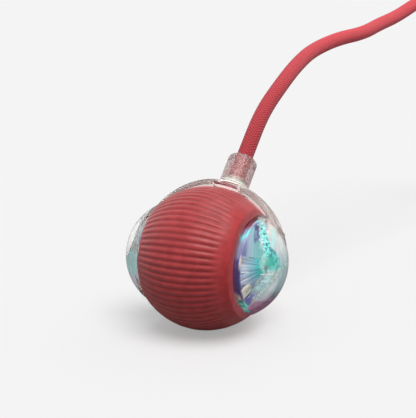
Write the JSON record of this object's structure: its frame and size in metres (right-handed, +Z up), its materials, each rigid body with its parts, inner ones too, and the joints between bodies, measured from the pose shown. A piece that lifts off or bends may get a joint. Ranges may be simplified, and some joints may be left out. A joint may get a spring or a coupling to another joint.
{
  "type": "self-rolling cat ball",
  "caption": "Self-rolling pet ball: a ribbed tyre turns round a clear-ended still body with a motor and gear train, and a braided cord tail leaves a clear collar at the back.",
  "frame": {"origin": "point of the floor that the tread touches, straight under the ball's centre", "axes": "+X along the wheel's axle, +Y to the back where the tail leaves, +Z up"},
  "size_m": [0.0644, 0.3061, 0.0979],
  "materials": {
    "red_silicone": "matt moulded silicone",
    "dark_abs": "moulded",
    "white_pom": "moulded",
    "brass": "machined",
    "steel": "plated",
    "battery_film": "foil pouch",
    "foam": "foam tape",
    "clear_pc": "clear moulded polycarbonate",
    "white_abs": "moulded",
    "red_braid": "braided polyester",
    "red_sleeve": "moulded",
    "board": "solder mask",
    "black_abs": "moulded",
    "iridescent": "iridescent film on plastic",
    "iridescent_prism": "iridescent coated prism",
    "led_lens": "epoxy lens",
    "cream_abs": "moulded"
  },
  "bodies": {
    "shell": {"core_right": "dark_abs", "core_left": "dark_abs", "core_screws": "steel", "gear_plate": "dark_abs", "gear_pins": "steel", "motor": "steel", "battery": "battery_film", "battery_pad": "foam", "dome_right": "clear_pc", "dome_left": "clear_pc", "tail_cowl": "clear_pc", "cowl_screws": "steel", "tail_plug": "white_abs", "tail_retainer": "clear_pc", "tail_cord": "red_braid", "tail_tip": "red_sleeve", "control_pod": "white_abs", "charge_port": "steel", "circuit_board": "board", "power_switch": "black_abs", "light_plate": "iridescent", "light_ring": "iridescent", "prism_right": "iridescent_prism", "led_right": "led_lens", "bracket_right": "cream_abs"},
    "wheel": {"tyre": "red_silicone", "drum_left": "dark_abs", "drum_right": "dark_abs", "drive_ring": "white_pom", "bush_left": "white_pom", "bush_right": "white_pom"},
    "second_gear": {"second_idler": "white_pom"},
    "first_gear": {"first_idler": "white_pom"},
    "motor_rotor": {"motor_pinion": "brass"},
    "button": {"power_button": "white_abs"}
  },
  "joints": [
    {"name": "wheel_spin", "type": "hinge", "parent": "shell", "child": "wheel", "pos_m": [0, 0, 0.0215], "axis": [1, 0, 0], "continuous": true},
    {"name": "second_gear_spin", "type": "hinge", "parent": "shell", "child": "second_gear", "pos_m": [0, -0.006, 0.03189], "axis": [1, 0, 0], "continuous": true},
    {"name": "first_gear_spin", "type": "hinge", "parent": "shell", "child": "first_gear", "pos_m": [0, -0.00201, 0.02714], "axis": [1, 0, 0], "continuous": true},
    {"name": "motor_spin", "type": "hinge", "parent": "shell", "child": "motor_rotor", "pos_m": [0, 0.00419, 0.02489], "axis": [1, 0, 0], "continuous": true},
    {"name": "button_press", "type": "slide", "parent": "shell", "child": "button", "axis": [1, 0, 0], "range_m": [0, 0.0005], "stiffness_N_per_m": 400}
  ],
  "couplings": [
    {"joint": "second_gear_spin", "follows": "wheel_spin", "ratio": 6},
    {"joint": "first_gear_spin", "follows": "wheel_spin", "ratio": -14.667},
    {"joint": "motor_spin", "follows": "wheel_spin", "ratio": 39.111}
  ]
}
